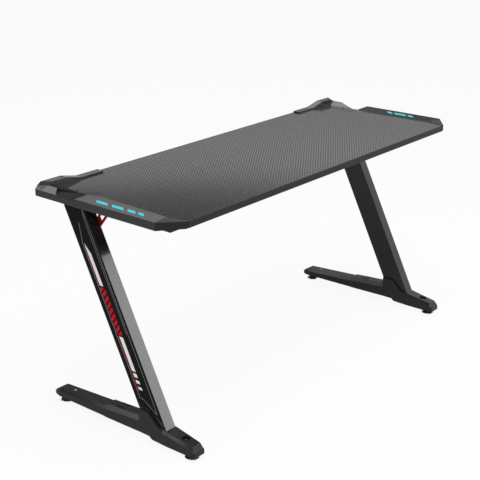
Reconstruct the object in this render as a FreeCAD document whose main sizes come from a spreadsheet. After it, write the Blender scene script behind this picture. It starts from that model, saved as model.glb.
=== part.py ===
import FreeCAD, Part
import math
import os
import Sketcher

Vector = FreeCAD.Vector

# Driving sizes: millimetres, and plain shares where the name says so
SIZES = (
    # desktop
    ("desk_width", 1530.0),
    ("desk_depth", 549.0),
    ("desk_front", 284.2),
    ("surface_height", 745.0),
    ("board_thickness", 19.5),
    ("skin_thickness", 1.0),
    ("edge_thickness", 3.0),
    ("front_cut_x", 68.7),
    ("front_cut_y", 54.4),
    # light bars along the two sides, placed from the rear edge of the desk
    ("bar_rear", 172.8),
    ("bar_rear_inner", 167.8),
    ("bar_wide", 212.8),
    ("bar_front_inner", 215.0),
    ("bar_width_front", 62.0),
    ("bar_width_wide", 74.0),
    ("bar_width_rear", 56.0),
    ("bar_nose_width", 75.0),
    ("bar_outer_rise", 4.5),
    ("bar_inner_rise", 0.8),
    ("bar_nose_rise", 1.2),
    ("window_inset", 31.0),
    ("window_width", 18.0),
    ("left_window_start", 60.0),
    ("left_window_long", 46.0),
    ("left_window_middle", 31.0),
    ("left_window_short", 22.0),
    ("left_window_wide_gap", 18.5),
    ("left_window_middle_gap", 16.0),
    ("left_window_narrow_gap", 11.5),
    ("right_window_start", 113.0),
    ("right_window_long", 49.0),
    ("right_window_short", 20.0),
    ("right_window_gap", 11.0),
    ("groove_width", 16.0),
    ("groove_depth", 6.0),
    ("groove_margin", 10.0),
    ("strip_width", 10.0),
    ("strip_thickness", 1.6),
    ("strip_margin", 4.0),
    ("diode_size", 5.0),
    ("diode_height", 1.4),
    ("diode_pitch", 16.5),
    # moulded rear corners, placed from the rear edge of the desk
    ("corner_width", 100.0),
    ("corner_tip", 180.8),
    ("corner_notch_inset", 60.0),
    ("corner_notch", 142.8),
    ("left_corner_shoulder", 92.0),
    ("right_corner_shoulder", 60.0),
    ("corner_edge_rise", 0.5),
    ("ridge_inset", 28.0),
    ("ridge_front", 67.0),
    ("ridge_rise", 10.0),
    ("ridge_foot_inset", 70.0),
    ("left_scoop_inner_drop", 1.5),
    ("left_scoop_outer_drop", 4.0),
    ("right_scoop_inner_drop", 16.5),
    ("right_scoop_outer_drop", 16.5),
    ("scoop_wall", 3.0),
    ("rail_depth", 28.0),
    ("rail_rise", 19.0),
    ("rail_top_inset", 100.0),
    ("rail_front_inset", 45.0),
    ("rail_shoulder_inset", 22.0),
    ("rail_bevel_inset", 8.0),
    ("rail_bevel_rise", 9.5),
    ("rail_ramp_inset", 163.0),
    ("rail_end_inset", 252.0),
    ("rail_low_rise", 5.0),
    # screws that hold the mouldings
    ("trim_screw_head", 7.4),
    ("trim_screw_shank", 3.4),
    ("trim_screw_height", 1.4),
    ("trim_screw_seat", 1.0),
    ("trim_screw_bite", 14.0),
    ("screw_clearance", 0.3),
    ("bar_screw_inset", 55.0),
    ("bar_screw_front", 243.0),
    ("corner_screw_inset", 72.0),
    ("corner_screw_rear", 106.8),
    ("rail_screw_inset", 94.0),
    # legs
    ("leg_inset", 81.7),
    ("leg_width", 40.0),
    ("leg_span", 90.0),
    ("leg_wall", 2.0),
    ("leg_foot_y", 149.7),
    ("leg_top_rear", 93.0),
    ("decal_thickness", 0.6),
    ("decal_margin", 2.0),
    ("decal_low", 113.0),
    ("decal_toe", 85.0),
    ("beam_height", 22.5),
    ("beam_front", 225.0),
    ("beam_tail", 5.2),
    ("beam_wall", 2.0),
    ("cap_thickness", 3.0),
    ("gusset_thickness", 5.0),
    ("gusset_reach", 86.0),
    ("gusset_drop", 65.0),
    ("gusset_clip", 40.0),
    # crossbars
    ("bar_depth", 30.0),
    ("crossbar_wall", 2.0),
    ("crossbar_inset", 60.0),
    ("crossbar_rear", 174.8),
    ("crossbar_bolt_head", 11.0),
    ("crossbar_bolt_height", 4.5),
    ("crossbar_bolt_shank", 6.0),
    ("crossbar_nut_width", 11.0),
    ("crossbar_nut_height", 5.0),
    ("board_screw_head", 10.0),
    ("board_screw_height", 3.0),
    ("board_screw_shank", 5.0),
    ("board_screw_bite", 12.0),
    ("board_screw_end", 25.0),
    ("board_screw_gap", 30.8),
    # feet
    ("foot_length", 615.0),
    ("foot_width", 56.0),
    ("foot_height", 84.0),
    ("foot_bar_width", 32.0),
    ("foot_bar_thickness", 10.0),
    ("foot_bar_lift", 31.0),
    ("foot_bar_end", 17.0),
    ("cover_clearance", 0.4),
    ("cheek_height", 104.8),
    ("cheek_rear", 72.8),
    ("cheek_crest", 34.0),
    ("cheek_foot", 8.0),
    ("cheek_front", 20.0),
    ("cheek_toe_height", 66.8),
    ("cheek_toe_drop", 3.0),
    ("slot_length", 34.0),
    ("slot_width", 8.0),
    ("slot_spacing", 20.0),
    ("slot_y", 10.0),
    ("slot_floor", 66.5),
    ("front_screw_inset", 55.0),
    ("rear_screw_inset", 76.5),
    ("front_recess", 26.0),
    ("rear_recess", 10.0),
    ("recess_web", 4.5),
    ("cover_screw_head", 9.0),
    ("cover_screw_height", 3.0),
    ("cover_screw_shank", 5.0),
    # levelling feet
    ("leveller_inset", 30.5),
    ("leveller_diameter", 45.0),
    ("leveller_height", 9.0),
    ("leveller_rim", 3.5),
    ("leveller_neck", 16.0),
    ("stud_diameter", 8.0),
    ("stud_gap", 2.0),
    ("stud_clearance", 0.3),
    ("nut_width", 14.6),
    ("nut_height", 6.5),
    # light controller under the board
    ("controller_x", 250.0),
    ("controller_rear", 74.8),
    ("controller_length", 74.0),
    ("controller_depth", 46.0),
    ("controller_height", 22.0),
    ("controller_wall", 2.0),
    ("controller_lid", 2.5),
    ("button_diameter", 9.0),
    ("button_length", 7.0),
    ("button_proud", 2.0),
    ("button_flange", 12.0),
    ("button_flange_thickness", 1.2),
    ("button_clearance", 0.3),
    ("button_inset", 16.0),
    ("circuit_thickness", 1.6),
    ("circuit_margin", 4.0),
    ("inlet_width", 9.0),
    ("inlet_height", 11.0),
    ("inlet_depth", 13.0),
    ("inlet_bore", 5.6),
    ("inlet_floor", 2.0),
    ("inlet_pin", 2.0),
    # leads from the controller to the light strips
    ("lead_diameter", 4.0),
    ("lead_gap", 0.4),
    ("lead_bend", 24.0),
    ("lead_rear", 21.8),
    ("lead_hole", 13.0),
    ("clip_length", 12.0),
    ("clip_wall", 2.0),
    ("clip_pitch", 160.0),
    # every cut runs past its face by this much
    ("overrun", 2.0),
)

# Cross-sections of the foot moulding from its rear end to its front end: place along the foot as a
# share of half its length, then side, top edge as shares of half its width, then top, shoulder and
# underside as shares of its height
FOOT_SECTION_SHARES = (
    (1.000, 0.70, 0.50, 0.42, 0.37, 0.25),
    (0.935, 0.84, 0.62, 0.56, 0.43, 0.225),
    (0.224, 0.95, 0.66, 0.725, 0.60, 0.28),
    (0.216, 1.00, 0.64, 0.78, 0.63, 0.28),
    (-0.285, 1.00, 0.62, 0.92, 0.77, 0.32),
    (-0.413, 1.00, 0.70, 0.86, 0.73, 0.32),
    (-0.449, 1.00, 0.72, 0.84, 0.72, 0.22),
    (-0.645, 1.00, 0.76, 0.745, 0.65, 0.20),
    (-0.955, 0.84, 0.62, 0.57, 0.44, 0.182),
    (-1.000, 0.72, 0.54, 0.43, 0.35, 0.185),
)
GUSSET_HOLE_SHARE = 0.5
BOARD_SCREW_COUNT = 3

doc = FreeCAD.newDocument("gaming_desk")
sheet = doc.addObject("Spreadsheet::Sheet", "Sizes")
for row, (alias, number) in enumerate(SIZES, 1):
    sheet.set(f"A{row}", alias)
    sheet.set(f"B{row}", str(number))
    sheet.setAlias(f"B{row}", alias)
doc.recompute()
nodes = []


def size(alias):
    return float(getattr(sheet, alias))


# Places that several pieces share, as formulas on the sheet
HALF = "(Sizes.desk_width / 2)"
FRONT = "(-Sizes.desk_front)"
REAR = "(Sizes.desk_depth - Sizes.desk_front)"
BOARD_TOP = "(Sizes.surface_height - Sizes.skin_thickness)"
UNDER = f"({BOARD_TOP} - Sizes.board_thickness)"
BEAM_LOW = f"({UNDER} - Sizes.beam_height)"
LEG_X = f"({HALF} - Sizes.leg_inset)"
BAR_TOP = "(Sizes.foot_bar_lift + Sizes.foot_bar_thickness)"
FOOT_END = "(Sizes.foot_length / 2)"
LEG_FOOT = f"(Sizes.leg_foot_y - {FOOT_END})"
LEAN = f"(({REAR} - Sizes.leg_top_rear - {LEG_FOOT}) / ({BEAM_LOW} - {BAR_TOP}))"
RECESS_FLOOR = f"({BAR_TOP} + Sizes.recess_web)"
WINDOW_X = f"({HALF} - Sizes.window_inset)"
BAR_REAR = f"({REAR} - Sizes.bar_rear)"
LEAD_LINE = f"({REAR} - Sizes.lead_rear)"


def leg_y(height, share):
    """Place on the slanted leg at a height, from -0.5 at its front face to 0.5 at its rear face."""
    return f"({LEG_FOOT} + {LEAN} * ({height} - {BAR_TOP}) + Sizes.leg_span * {share})"


def bind(item, **formulas):
    for name, formula in formulas.items():
        item.setExpression(name.replace("__", "."), formula)
    return item


def place(item, x="0", y="0", z="0"):
    return bind(item, Placement__Base__x=x, Placement__Base__y=y, Placement__Base__z=z)


def node(item, label):
    item.Label = label
    nodes.append(item)
    return item


def block(name, low, span):
    """Box from its lowest corner and its three spans."""
    item = doc.addObject("Part::Box", name)
    bind(item, Length=span[0], Width=span[1], Height=span[2])
    return place(item, *low)


def rod(name, diameter, height, foot, axis=None):
    """Round bar that starts at its foot and runs along +Z, or along the axis given."""
    item = doc.addObject("Part::Cylinder", name)
    bind(item, Radius=f"({diameter}) / 2", Height=height)
    if axis:
        item.Placement = FreeCAD.Placement(Vector(), FreeCAD.Rotation(Vector(0, 0, 1), axis))
    return place(item, *foot)


def hexagon(name, across_flats, height, foot, axis=None):
    item = doc.addObject("Part::Prism", name)
    item.Polygon = 6
    bind(item, Circumradius=f"({across_flats}) / sqrt(3)", Height=height)
    if axis:
        item.Placement = FreeCAD.Placement(Vector(), FreeCAD.Rotation(Vector(0, 0, 1), axis))
    return place(item, *foot)


def group(name, members):
    item = doc.addObject("Part::Compound", name)
    item.Links = members
    return item


def fuse(name, members):
    item = doc.addObject("Part::MultiFuse", name)
    item.Shapes = members
    return item


def cut(name, base, tools):
    item = doc.addObject("Part::Cut", name)
    item.Base = base
    item.Tool = tools[0] if len(tools) == 1 else fuse(f"{name}_tools", tools)
    return item


def common(name, base, tool):
    item = doc.addObject("Part::Common", name)
    item.Base = base
    item.Tool = tool
    return item


def mirror(name, source):
    item = doc.addObject("Part::Mirroring", name)
    item.Source = source
    item.Normal = Vector(1, 0, 0)
    return item


def pair(name, left):
    """Left piece, and its mirror image on the right of the desk."""
    node(left, f"left_{name}")
    return left, node(mirror(f"right_{name}", left), f"right_{name}")


def sketch(body, name, role, corners, lift="0"):
    """Closed outline on one of the body's own planes, each corner held to its two formulas."""
    item = body.newObject("Sketcher::SketchObject", name)
    plane = [feature for feature in body.Origin.OriginFeatures if feature.Role == role]
    item.AttachmentSupport = [(plane[0], "")]
    item.MapMode = "FlatFace"
    item.setExpression("AttachmentOffset.Base.z", lift)
    count = len(corners)
    turns = [2 * math.pi * index / count for index in range(count)]
    start = [Vector(math.cos(turn), math.sin(turn), 0) for turn in turns]
    for index in range(count):
        item.addGeometry(Part.LineSegment(start[index], start[(index + 1) % count]))
    for index in range(count):
        item.addConstraint(Sketcher.Constraint("Coincident", index, 2, (index + 1) % count, 1))
    for index, corner in enumerate(corners):
        for kind, formula in zip(("DistanceX", "DistanceY"), corner):
            held = item.addConstraint(Sketcher.Constraint(kind, -1, 1, index, 1, start[0].x))
            item.setExpression(f"Constraints[{held}]", formula)
    return item


def pad(body, name, profile, length, symmetric=False):
    item = body.newObject("PartDesign::Pad", name)
    item.Profile = profile
    if symmetric:
        item.SideType = "Symmetric"
    return bind(item, Length=length)


def pocket(body, name, profile, length, symmetric=False):
    item = body.newObject("PartDesign::Pocket", name)
    item.Profile = profile
    if symmetric:
        item.SideType = "Symmetric"
    return bind(item, Length=length)


def plate(name, role, corners, lift, length, symmetric=False):
    """Body with one outline given its thickness."""
    body = doc.addObject("PartDesign::Body", name)
    pad(body, f"{name}_pad", sketch(body, f"{name}_outline", role, corners, lift), length, symmetric)
    return body


def faceted(name, plan, base, tops, peaks, roof):
    """Moulding over a flat plan: upright walls, and a roof of flat facets over the wall tops and peaks."""
    low = [Vector(x, y, base) for x, y in plan]
    high = [Vector(x, y, top) for (x, y), top in zip(plan, tops)]
    high += [Vector(*peak) for peak in peaks]
    rings = [low]
    for index in range(len(plan)):
        after = (index + 1) % len(plan)
        rings.append([low[index], low[after], high[after], high[index]])
    rings += [[high[index] for index in facet] for facet in roof]
    faces = [Part.Face(Part.makePolygon(ring + ring[:1])) for ring in rings]
    shell = Part.makeShell(faces)
    shell.sewShape()
    solid = Part.makeSolid(shell)
    if solid.Volume < 0:
        solid.reverse()
    item = doc.addObject("Part::Feature", name)
    item.Shape = solid
    item.Placement = FreeCAD.Placement()
    return item


def plan_outline(inset):
    """Plan of the desktop, set in from its outer faces."""
    half = f"({HALF} - {inset})"
    front = f"({FRONT} + {inset})"
    rear = f"({REAR} - {inset})"
    slant = "hypot(Sizes.front_cut_x; Sizes.front_cut_y)"
    side_y = f"({FRONT} + Sizes.front_cut_y + ({slant} - Sizes.front_cut_y) * {inset} / Sizes.front_cut_x)"
    nose_x = f"({HALF} - Sizes.front_cut_x - ({slant} - Sizes.front_cut_x) * {inset} / Sizes.front_cut_y)"
    right = [(nose_x, front), (half, side_y), (half, rear)]
    left = [(f"-{x}", y) for x, y in reversed(right)]
    return right + left


# Desktop
half_width = size("desk_width") / 2
desk_rear = size("desk_depth") - size("desk_front")
board_top = size("surface_height") - size("skin_thickness")
board_under = board_top - size("board_thickness")
surface = size("surface_height")
board_outline = plan_outline("Sizes.edge_thickness")
whole_board = plate("whole_board", "XY_Plane", board_outline, UNDER, "Sizes.board_thickness")
WALL = "Sizes.scoop_wall"


def scoop_gap(side):
    """Gap in the board that a side's scoop and its walls fill, drawn on the right of the desk."""
    return plate(f"{side}_scoop_gap", "XY_Plane", [
        (f"{HALF} - Sizes.bar_width_rear - {WALL}", f"{REAR} - Sizes.bar_rear_inner - {WALL}"),
        (HALF, f"{BAR_REAR} - {WALL}"),
        (HALF, f"{REAR} - Sizes.{side}_corner_shoulder + {WALL}"),
        (f"{HALF} - Sizes.ridge_inset - {WALL}", f"{REAR} - Sizes.ridge_front + 2 * {WALL}"),
        (f"{HALF} - Sizes.corner_notch_inset - {WALL}", f"{REAR} - Sizes.corner_notch + {WALL}"),
    ], UNDER, "Sizes.board_thickness")


left_gap = scoop_gap("left")
right_gap = scoop_gap("right")
blank = cut("board_blank", whole_board, [right_gap, mirror("left_board_gap", left_gap)])


def side_point(inset, y):
    return half_width - inset, y


nose = side_point(size("bar_nose_width"), -size("desk_front") + size("edge_thickness"))
nose_outer = side_point(size("front_cut_x"), -size("desk_front"))
bar_corner = side_point(size("bar_width_front"), -size("bar_front_inner"))
bar_wide = side_point(size("bar_width_wide"), desk_rear - size("bar_wide"))
bar_end = side_point(size("bar_width_rear"), desk_rear - size("bar_rear_inner"))
bar_end_outer = side_point(0, desk_rear - size("bar_rear"))
cut_corner = side_point(0, size("front_cut_y") - size("desk_front"))


def bar_height(point):
    """Height of the light bar's gently tilted face over a plan point."""
    fall = (size("bar_outer_rise") - size("bar_inner_rise")) / size("bar_width_wide")
    return surface + size("bar_outer_rise") - fall * (half_width - point[0])


nose_height = surface + size("bar_nose_rise")
bar_face = [cut_corner, bar_end_outer, bar_end, bar_wide, bar_corner]
bar_blank = faceted(
    "bar_blank",
    [nose, nose_outer] + bar_face,
    board_under,
    [nose_height, nose_height] + [bar_height(point) for point in bar_face],
    [],
    [(2, 3, 4, 5, 6), (6, 1, 2), (6, 0, 1)],
)


def windows(side, runs):
    """Light windows, all slanted the same way, from the rear of the bar for as far as its face reaches."""
    sign, ahead, behind = ("-", "-", "+") if side == "left" else ("", "+", "-")
    inner = f"({WINDOW_X} - Sizes.window_width / 2)"
    outer = f"({WINDOW_X} + Sizes.window_width / 2)"
    found = []
    rear = f"({BAR_REAR} - Sizes.{side}_window_start)"
    room = desk_rear - size("bar_rear") - size(f"{side}_window_start") + size("bar_front_inner")
    for index, (length, gap) in enumerate(runs, 1):
        if size(length) > room:
            break
        room -= size(length) + size(gap)
        front = f"({rear} - Sizes.{length})"
        corners = [
            (f"{sign}{outer}", f"{rear} {ahead} Sizes.window_width / 2"),
            (f"{sign}{inner}", f"{rear} {behind} Sizes.window_width / 2"),
            (f"{sign}{inner}", f"{front} {behind} Sizes.window_width / 2"),
            (f"{sign}{outer}", f"{front} {ahead} Sizes.window_width / 2"),
        ]
        name = f"{side}_window_{index}"
        found.append(plate(name, "XY_Plane", corners, BOARD_TOP, "Sizes.bar_outer_rise + Sizes.overrun"))
        rear = f"({front} - Sizes.{gap})"
    return found


LEFT_WINDOWS = windows("left", [
    ("left_window_long", "left_window_wide_gap"),
    ("left_window_long", "left_window_middle_gap"),
    ("left_window_middle", "left_window_narrow_gap"),
    ("left_window_short", "left_window_narrow_gap"),
])
RIGHT_WINDOWS = windows("right", [
    ("right_window_short", "right_window_gap"),
    ("right_window_long", "right_window_gap"),
    ("right_window_short", "right_window_gap"),
])

# Screws of the mouldings: an inset from the desk's side, and a place along it
TRIM_SCREWS = (
    ("Sizes.bar_screw_inset", "-Sizes.bar_screw_front"),
    ("Sizes.corner_screw_inset", f"{REAR} - Sizes.corner_screw_rear"),
    ("Sizes.rail_screw_inset", f"{REAR} - Sizes.rail_depth / 2"),
)
SCREW_SEAT = f"({BOARD_TOP} + Sizes.trim_screw_seat)"
SCREW_POINT = f"({BOARD_TOP} - Sizes.trim_screw_bite)"
trim_screws = []
trim_screw_bores = []
for side, sign in (("left", "-"), ("right", "")):
    for index, (inset, y) in enumerate(TRIM_SCREWS, 1):
        name = f"{side}_trim_screw_{index}"
        x = f"{sign}({HALF} - {inset})"
        shank = "Sizes.trim_screw_bite + Sizes.trim_screw_seat"
        trim_screws.append(fuse(name, [
            rod(f"{name}_head", "Sizes.trim_screw_head", "Sizes.trim_screw_height", (x, y, SCREW_SEAT)),
            rod(f"{name}_shank", "Sizes.trim_screw_shank", shank, (x, y, SCREW_POINT)),
        ]))
        gap = "2 * Sizes.screw_clearance"
        wide = f"Sizes.trim_screw_head + {gap}"
        bore = f"Sizes.trim_screw_shank + {gap}"
        trim_screw_bores.append(fuse(f"{name}_bore", [
            rod(f"{name}_counterbore", wide, "Sizes.rail_rise + Sizes.overrun", (x, y, SCREW_SEAT)),
            rod(f"{name}_hole", bore, f"{shank} + Sizes.overrun", (x, y, f"{SCREW_POINT} - Sizes.overrun")),
        ]))
node(group("trim_screw_set", trim_screws), "trim_screws")
left_bores = trim_screw_bores[:len(TRIM_SCREWS)]
right_bores = trim_screw_bores[len(TRIM_SCREWS):]

left_bar_blank = mirror("left_bar_blank", bar_blank)
for side, shape, openings, bores in (
    ("left", left_bar_blank, LEFT_WINDOWS, left_bores),
    ("right", bar_blank, RIGHT_WINDOWS, right_bores),
):
    shell = cut(f"{side}_bar_shell", shape, [blank] + openings + bores[:1])
    node(shell, f"{side}_light_bar")
    above = cut(f"{side}_bar_above", shape, [blank])
    lenses = [common(f"{side}_lens_{index}", above, opening) for index, opening in enumerate(openings, 1)]
    node(group(f"{side}_lens_set", lenses), f"{side}_light_lenses")

# Moulded rear corners: a flat flank beside the surface, a ridge, a scoop and a rail along the back
rail_front = desk_rear - size("rail_depth")
corner_tip = side_point(size("corner_width"), desk_rear - size("corner_tip"))
corner_inner = side_point(size("corner_width"), rail_front)
corner_notch = side_point(size("corner_notch_inset"), desk_rear - size("corner_notch"))
corner_outer = side_point(0, rail_front)
ridge_front = side_point(size("ridge_inset"), desk_rear - size("ridge_front"))
ridge_rear = side_point(size("ridge_inset"), rail_front)
ridge_foot = side_point(size("ridge_foot_inset"), rail_front)
low_height = surface + size("bar_inner_rise")
edge_height = surface + size("corner_edge_rise")
ridge_height = surface + size("ridge_rise")
shared_stops = [
    (size("rail_end_inset"), size("rail_low_rise")),
    (size("rail_ramp_inset"), size("rail_low_rise")),
    (size("rail_top_inset"), size("rail_rise")),
]
front_stops = shared_stops + [
    (size("rail_front_inset"), size("rail_rise")),
    (size("ridge_inset"), size("ridge_rise")),
    (0, size("corner_edge_rise")),
]
back_stops = shared_stops + [
    (size("rail_shoulder_inset"), size("rail_rise")),
    (size("rail_bevel_inset"), size("rail_bevel_rise")),
    (0, size("corner_edge_rise")),
]
front_row = [side_point(inset, rail_front) for inset, rise in front_stops]
back_row = [side_point(inset, desk_rear) for inset, rise in reversed(back_stops)]
rail = faceted(
    "rear_rail",
    front_row + back_row,
    board_under,
    [surface + rise for inset, rise in front_stops + back_stops[::-1]],
    [],
    [(0, 1, 10, 11), (1, 2, 9, 10), (2, 3, 8, 9), (3, 4, 8), (4, 7, 8), (4, 5, 7), (5, 6, 7)],
)


def rear_corner(side, gap):
    """Corner of one side, drawn on the right of the desk."""
    shoulder = side_point(0, desk_rear - size(f"{side}_corner_shoulder"))
    ridge = faceted(
        f"{side}_ridge",
        [
            corner_tip, corner_notch, ridge_front, shoulder,
            corner_outer, ridge_rear, ridge_foot, corner_inner,
        ],
        board_under,
        [
            low_height, low_height, ridge_height, edge_height,
            edge_height, ridge_height, low_height, low_height,
        ],
        [],
        [(0, 1, 6, 7), (1, 2, 6), (2, 5, 6), (2, 3, 4, 5)],
    )
    inner_floor = surface - size(f"{side}_scoop_inner_drop")
    outer_floor = surface - size(f"{side}_scoop_outer_drop")
    hollow = faceted(
        f"{side}_scoop_hollow",
        [bar_end, bar_end_outer, shoulder, ridge_front, corner_notch],
        surface,
        [inner_floor, outer_floor, outer_floor, inner_floor, inner_floor],
        [],
        [(0, 1, 2), (0, 2, 4), (2, 3, 4)],
    )
    scoop = cut(f"{side}_scoop", gap, [hollow, bar_blank])
    return fuse(f"{side}_corner_whole", [ridge, scoop, rail])


left_corner_blank = mirror("left_corner_blank", rear_corner("left", left_gap))
right_corner_blank = rear_corner("right", right_gap)
node(cut("left_corner_shell", left_corner_blank, [blank] + left_bores[1:]), "left_rear_corner")
node(cut("right_corner_shell", right_corner_blank, [blank] + right_bores[1:]), "right_rear_corner")

# Laminated surface between the mouldings
skin_right = [
    (f"{HALF} - Sizes.bar_nose_width", f"{FRONT} + Sizes.edge_thickness"),
    (f"{HALF} - Sizes.bar_width_front", "-Sizes.bar_front_inner"),
    (f"{HALF} - Sizes.bar_width_wide", f"{REAR} - Sizes.bar_wide"),
    (f"{HALF} - Sizes.bar_width_rear", f"{REAR} - Sizes.bar_rear_inner"),
    (f"{HALF} - Sizes.corner_notch_inset", f"{REAR} - Sizes.corner_notch"),
    (f"{HALF} - Sizes.corner_width", f"{REAR} - Sizes.corner_tip"),
    (f"{HALF} - Sizes.corner_width", f"{REAR} - Sizes.rail_depth"),
    (f"{HALF} - Sizes.rail_end_inset", f"{REAR} - Sizes.rail_depth"),
    (f"{HALF} - Sizes.rail_end_inset", f"{REAR} - Sizes.edge_thickness"),
]
skin_corners = skin_right + [(f"-({x})", y) for x, y in reversed(skin_right)]
node(plate("skin", "XY_Plane", skin_corners, BOARD_TOP, "Sizes.skin_thickness"), "desktop_surface")

# Edge strips between the mouldings, flush with the surface
STRIP_HEIGHT = "Sizes.board_thickness + Sizes.skin_thickness"
front_strip_half = f"({HALF} - Sizes.bar_nose_width)"
node(block(
    "front_strip",
    (f"-{front_strip_half}", FRONT, UNDER),
    (f"2 * {front_strip_half}", "Sizes.edge_thickness", STRIP_HEIGHT),
), "front_edge_strip")
rear_strip_half = f"({HALF} - Sizes.rail_end_inset)"
node(block(
    "rear_strip",
    (f"-{rear_strip_half}", f"{REAR} - Sizes.edge_thickness", UNDER),
    (f"2 * {rear_strip_half}", "Sizes.edge_thickness", STRIP_HEIGHT),
), "rear_edge_strip")

# Light strips, each in a groove of the board under its windows
GROOVE_REAR = f"({BAR_REAR} - Sizes.left_window_start + Sizes.window_width / 2 + Sizes.groove_margin)"
GROOVE_LENGTH = f"({GROOVE_REAR} + Sizes.bar_front_inner - Sizes.groove_margin)"
GROOVE_FLOOR = f"({BOARD_TOP} - Sizes.groove_depth)"
STRIP_FRONT = f"({GROOVE_REAR} - {GROOVE_LENGTH} + Sizes.strip_margin)"
LEAD_Y = f"({GROOVE_REAR} - Sizes.groove_margin)"
grooves = []
strip_rear = desk_rear - size("bar_rear") - size("left_window_start") + size("window_width") / 2
strip_run = strip_rear + size("bar_front_inner") - 2 * size("groove_margin")
diode_count = int(strip_run / size("diode_pitch"))
for side, sign in (("left", "-"), ("right", "")):
    middle = f"{sign}{WINDOW_X}"
    grooves.append(block(
        f"{side}_groove",
        (f"{middle} - Sizes.groove_width / 2", f"{GROOVE_REAR} - {GROOVE_LENGTH}", GROOVE_FLOOR),
        ("Sizes.groove_width", GROOVE_LENGTH, "Sizes.groove_depth + Sizes.overrun"),
    ))
    grooves.append(rod(
        f"{side}_lead_hole", "Sizes.lead_hole",
        "Sizes.board_thickness", (middle, LEAD_Y, f"{UNDER} - Sizes.overrun"),
    ))
    members = [block(
        f"{side}_strip_base",
        (f"{middle} - Sizes.strip_width / 2", STRIP_FRONT, GROOVE_FLOOR),
        ("Sizes.strip_width", f"{GROOVE_LENGTH} - 2 * Sizes.strip_margin", "Sizes.strip_thickness"),
    )]
    for index in range(diode_count):
        members.append(block(
            f"{side}_diode_{index}",
            (
                f"{middle} - Sizes.diode_size / 2",
                f"{GROOVE_REAR} - Sizes.groove_margin - Sizes.diode_size - {index} * Sizes.diode_pitch",
                f"{GROOVE_FLOOR} + Sizes.strip_thickness",
            ),
            ("Sizes.diode_size", "Sizes.diode_size", "Sizes.diode_height"),
        ))
    node(group(f"{side}_strip", members), f"{side}_light_strip")

# Slanted legs, their top beams, braces, printed side panels and end caps
LEFT_X = f"-{LEG_X}"


def leg_outline(low, high, inset):
    return [
        (f"{leg_y(low, '(-0.5)')} + {inset}", low),
        (f"{leg_y(low, '0.5')} - {inset}", low),
        (f"{leg_y(high, '0.5')} - {inset}", high),
        (f"{leg_y(high, '(-0.5)')} + {inset}", high),
    ]


WALL_RUN = f"(Sizes.leg_wall * sqrt(1 + {LEAN} ^ 2))"
leg = doc.addObject("PartDesign::Body", "leg")
outer = sketch(leg, "leg_outer", "YZ_Plane", leg_outline(BAR_TOP, BEAM_LOW, "0"), LEFT_X)
pad(leg, "leg_pad", outer, "Sizes.leg_width", symmetric=True)
inner = sketch(leg, "leg_inner", "YZ_Plane", leg_outline(BAR_TOP, BEAM_LOW, WALL_RUN), LEFT_X)
pocket(leg, "leg_hollow", inner, "Sizes.leg_width - 2 * Sizes.leg_wall", symmetric=True)
pair("leg_column", leg)

decal_toe = [
    (f"{leg_y('Sizes.decal_toe', '(-0.5)')} + Sizes.decal_margin", "Sizes.decal_toe"),
    (f"{LEG_FOOT} + Sizes.cheek_crest", "Sizes.decal_low"),
]
decal_rest = leg_outline("Sizes.decal_low", f"({BEAM_LOW} - Sizes.decal_margin)", "Sizes.decal_margin")[1:]
decal = plate(
    "decal", "YZ_Plane", decal_toe + decal_rest,
    f"{LEFT_X} - Sizes.leg_width / 2 - Sizes.decal_thickness", "Sizes.decal_thickness",
)
pair("leg_panel", decal)

BEAM_REAR = f"({leg_y(BEAM_LOW, '0.5')} + Sizes.beam_tail)"
BEAM_LENGTH = f"(Sizes.beam_front + {BEAM_REAR})"
BEAM_X = f"({LEFT_X} - Sizes.leg_width / 2)"
beam_outer = block("beam_outer", (BEAM_X, "-Sizes.beam_front", BEAM_LOW),
                   ("Sizes.leg_width", BEAM_LENGTH, "Sizes.beam_height"))
beam_inner = block(
    "beam_inner",
    (f"{BEAM_X} + Sizes.beam_wall", "-Sizes.beam_front - Sizes.overrun", f"{BEAM_LOW} + Sizes.beam_wall"),
    (
        "Sizes.leg_width - 2 * Sizes.beam_wall",
        f"{BEAM_LENGTH} + 2 * Sizes.overrun",
        "Sizes.beam_height - 2 * Sizes.beam_wall",
    ),
)
caps = []
for name, y in (("front", "-Sizes.beam_front - Sizes.cap_thickness"), ("rear", BEAM_REAR)):
    caps.append(block(
        f"{name}_cap", (BEAM_X, y, BEAM_LOW),
        ("Sizes.leg_width", "Sizes.cap_thickness", "Sizes.beam_height"),
    ))
pair("beam_end_caps", group("cap_set", caps))

# Fasteners of the beams: screws up into the board, and bolts that hold the crossbars
board_screws = []
beam_bores = [beam_inner]
board_bores = list(grooves)
head_clear = "Sizes.board_screw_shank + 2 * Sizes.screw_clearance"
board_screw_length = "Sizes.board_screw_bite + Sizes.beam_height"
BRACE_TIP = f"({leg_y(BEAM_LOW, '(-0.5)')} - Sizes.gusset_reach)"
FIRST_SCREW = "(Sizes.board_screw_end - Sizes.beam_front)"
SCREW_RUN = f"({BRACE_TIP} - Sizes.board_screw_gap - {FIRST_SCREW})"
for index in range(BOARD_SCREW_COUNT):
    y = f"({FIRST_SCREW} + {SCREW_RUN} * {index} / {BOARD_SCREW_COUNT - 1})"
    board_screws.append(fuse(f"board_screw_{index}", [
        rod(f"board_head_{index}", "Sizes.board_screw_head", "Sizes.board_screw_height",
            (LEFT_X, y, f"{BEAM_LOW} - Sizes.board_screw_height")),
        rod(f"board_shank_{index}", "Sizes.board_screw_shank", board_screw_length, (LEFT_X, y, BEAM_LOW)),
    ]))
    bore = rod(f"board_bore_{index}", head_clear, f"{board_screw_length} + Sizes.overrun",
               (LEFT_X, y, f"{BEAM_LOW} - Sizes.overrun"))
    beam_bores.append(bore)
    board_bores += [bore, mirror(f"right_board_bore_{index}", bore)]
pair("board_screws", group("board_screw_set", board_screws))

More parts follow.
